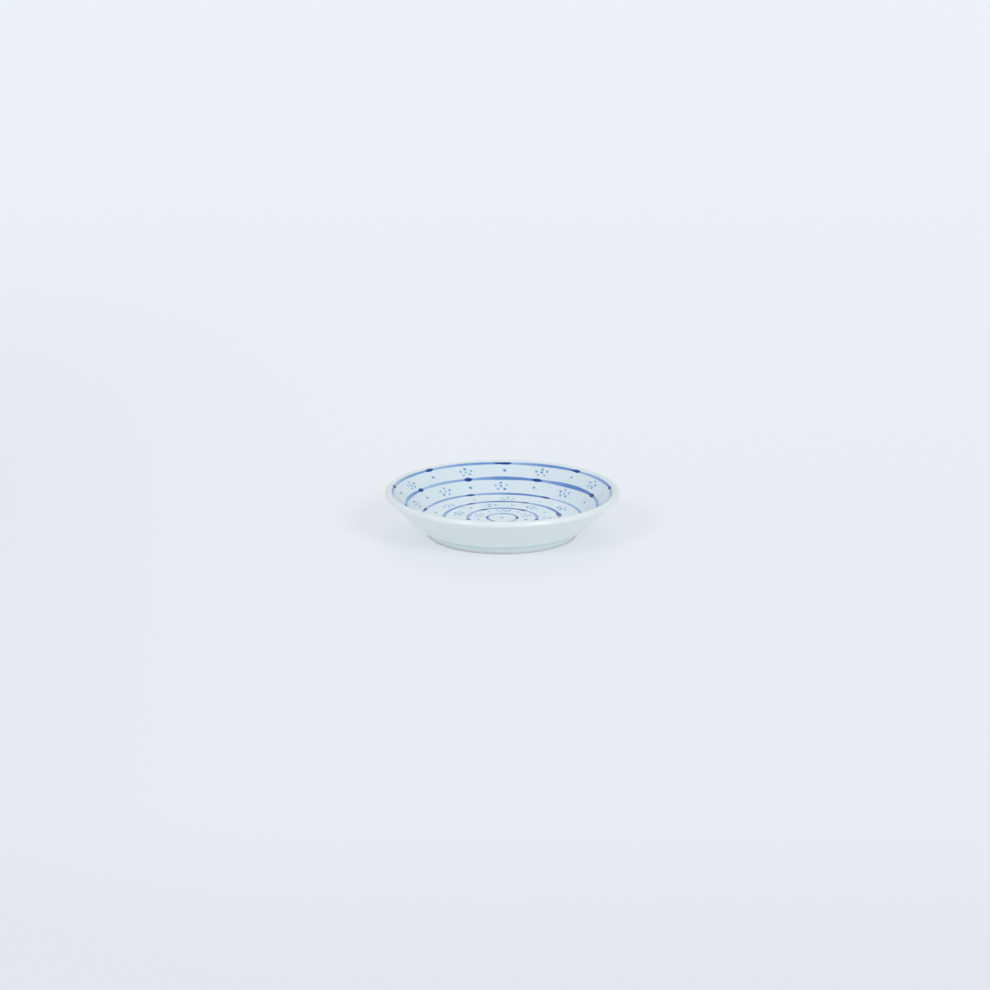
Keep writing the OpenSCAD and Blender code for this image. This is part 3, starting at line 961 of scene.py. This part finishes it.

# A pale table with a faint glow of its own, which carries painted light and shade: the glow's colours near,
# far (painted lighter towards the back), at the left and front edges (a painted falloff) and under the plate
# (a painted contact shadow), and the distances from the plate's axis over which they change, in millimetres
TABLE_SIZE = 8.0
TABLE_DROP = 0.01 * MM
TABLE_TONE = (0.44, 0.475, 0.50, 1)
TABLE_ROUGHNESS = 0.9
TABLE_SPECULAR = 0.1
GLOW_NEAR = (0.388, 0.384, 0.405, 1)
GLOW_FAR = (0.418, 0.425, 0.450, 1)
GLOW_EDGE = (0.350, 0.348, 0.367, 1)
GLOW_UNDER = (0.19, 0.19, 0.20, 1)
FAR_RANGE = (-600, 1600)
LEFT_RANGE = (-60, -330)
LEFT_DEPTH = (700, 0)
FRONT_RANGE = (-330, -500)
UNDER_RANGE = (FOOT_R / MM + 0.6, FOOT_R / MM - 1.4)

# The light of the room, and the soft boxes behind the plate and at both front sides: bearing, rise and
# spread in degrees, share of the table's light, and whether the glaze mirrors them
ROOM_LIGHT = (0.97, 0.99, 1.0, 1)
ROOM_STRENGTH = 0.63
SOFT_BOXES = [
    ("back_box", 90, 44, 44, 0.09, False),
    ("right_box", -52, 31, 22, 0.14, True),
    ("left_box", 228, 33, 20, 0.105, True),
]


def table_top():
    """Pale acrylic whose glow carries painted light: lighter towards the back, a painted falloff at the left
    and front, and a painted contact shadow under the plate.
    """
    shader = Shader("table_top")
    x, y = shader.parts(shader.place())[:2]
    # Painted light in the glow: lighter towards the back, a painted falloff at the left and front
    glow = shader.tint(shader.fade(y, *FAR_RANGE), GLOW_NEAR, GLOW_FAR)
    edge = shader.fade(x, *LEFT_RANGE) * shader.fade(y, *LEFT_DEPTH) + shader.fade(y, *FRONT_RANGE)
    # Painted contact shadow: the glow dims round and under the foot
    under = shader.fade(shader.math("SQRT", x * x + y * y), *UNDER_RANGE)
    glow = shader.tint(edge, glow, GLOW_EDGE)
    shader.set(
        Base_Color=TABLE_TONE,
        Emission_Color=shader.tint(under, glow, GLOW_UNDER),
        Emission_Strength=1.0,
        Roughness=TABLE_ROUGHNESS,
        Specular_IOR_Level=TABLE_SPECULAR,
    )
    return shader.material


def table():
    """The table that the plate stands on, just under its foot."""
    mesh = bpy.data.meshes.new("table")
    work = bmesh.new()
    bmesh.ops.create_grid(work, x_segments=1, y_segments=1, size=TABLE_SIZE / 2)
    work.to_mesh(mesh)
    work.free()
    mesh.materials.append(table_top())
    mesh.transform(Matrix.Translation((0, 0, -TABLE_DROP)))
    top = bpy.data.objects.new("table", mesh)
    scene.collection.objects.link(top)


def soft_light(name, bearing, rise, spread, share, mirrored):
    """A far, wide lamp that gives the table that share of its light, and shows in the glaze if mirrored."""
    data = bpy.data.lights.new(name, "SUN")
    data.angle = radians(spread)
    data.energy = share * pi / sin(radians(rise))
    lamp = bpy.data.objects.new(name, data)
    flat = cos(radians(rise))
    toward = Vector((flat * cos(radians(bearing)), flat * sin(radians(bearing)), sin(radians(rise))))
    lamp.rotation_euler = toward.to_track_quat("Z", "Y").to_euler()
    lamp.visible_glossy = mirrored
    scene.collection.objects.link(lamp)


def studio():
    """Even light from the room and the soft boxes."""
    world = bpy.data.worlds.new("studio")
    world.use_nodes = True
    room = world.node_tree.nodes["Background"]
    room.inputs["Color"].default_value = ROOM_LIGHT
    room.inputs["Strength"].default_value = ROOM_STRENGTH
    scene.world = world
    for box in SOFT_BOXES:
        soft_light(*box)


# The photograph's view: how far, how high, and where the centre of the well falls in a frame of 990 pixels
VIEW_DISTANCE = 1.5
VIEW_RISE = radians(16.2)
LENS = 121.75
SENSOR_W = 36
FRAME_PX = 990
WELL_PX = (502.15, 517.45)


def camera():
    """Looks past the centre of the well, so that it falls on its pixel."""
    data = bpy.data.cameras.new("camera")
    data.lens = LENS
    data.sensor_width = SENSOR_W
    view = bpy.data.objects.new("camera", data)
    well = Vector((0, 0, FLOOR_Z))
    back = Vector((0, -cos(VIEW_RISE), sin(VIEW_RISE)))
    up = Vector((0, sin(VIEW_RISE), cos(VIEW_RISE)))
    pixel = VIEW_DISTANCE * SENSOR_W / LENS / FRAME_PX
    right_px, down_px = (at - FRAME_PX / 2 for at in WELL_PX)
    aim = well + up * down_px * pixel - Vector((1, 0, 0)) * right_px * pixel
    view.location = well + back * VIEW_DISTANCE
    view.rotation_euler = (aim - view.location).to_track_quat("-Z", "Y").to_euler()
    scene.collection.objects.link(view)
    scene.camera = view


table()
studio()
camera()
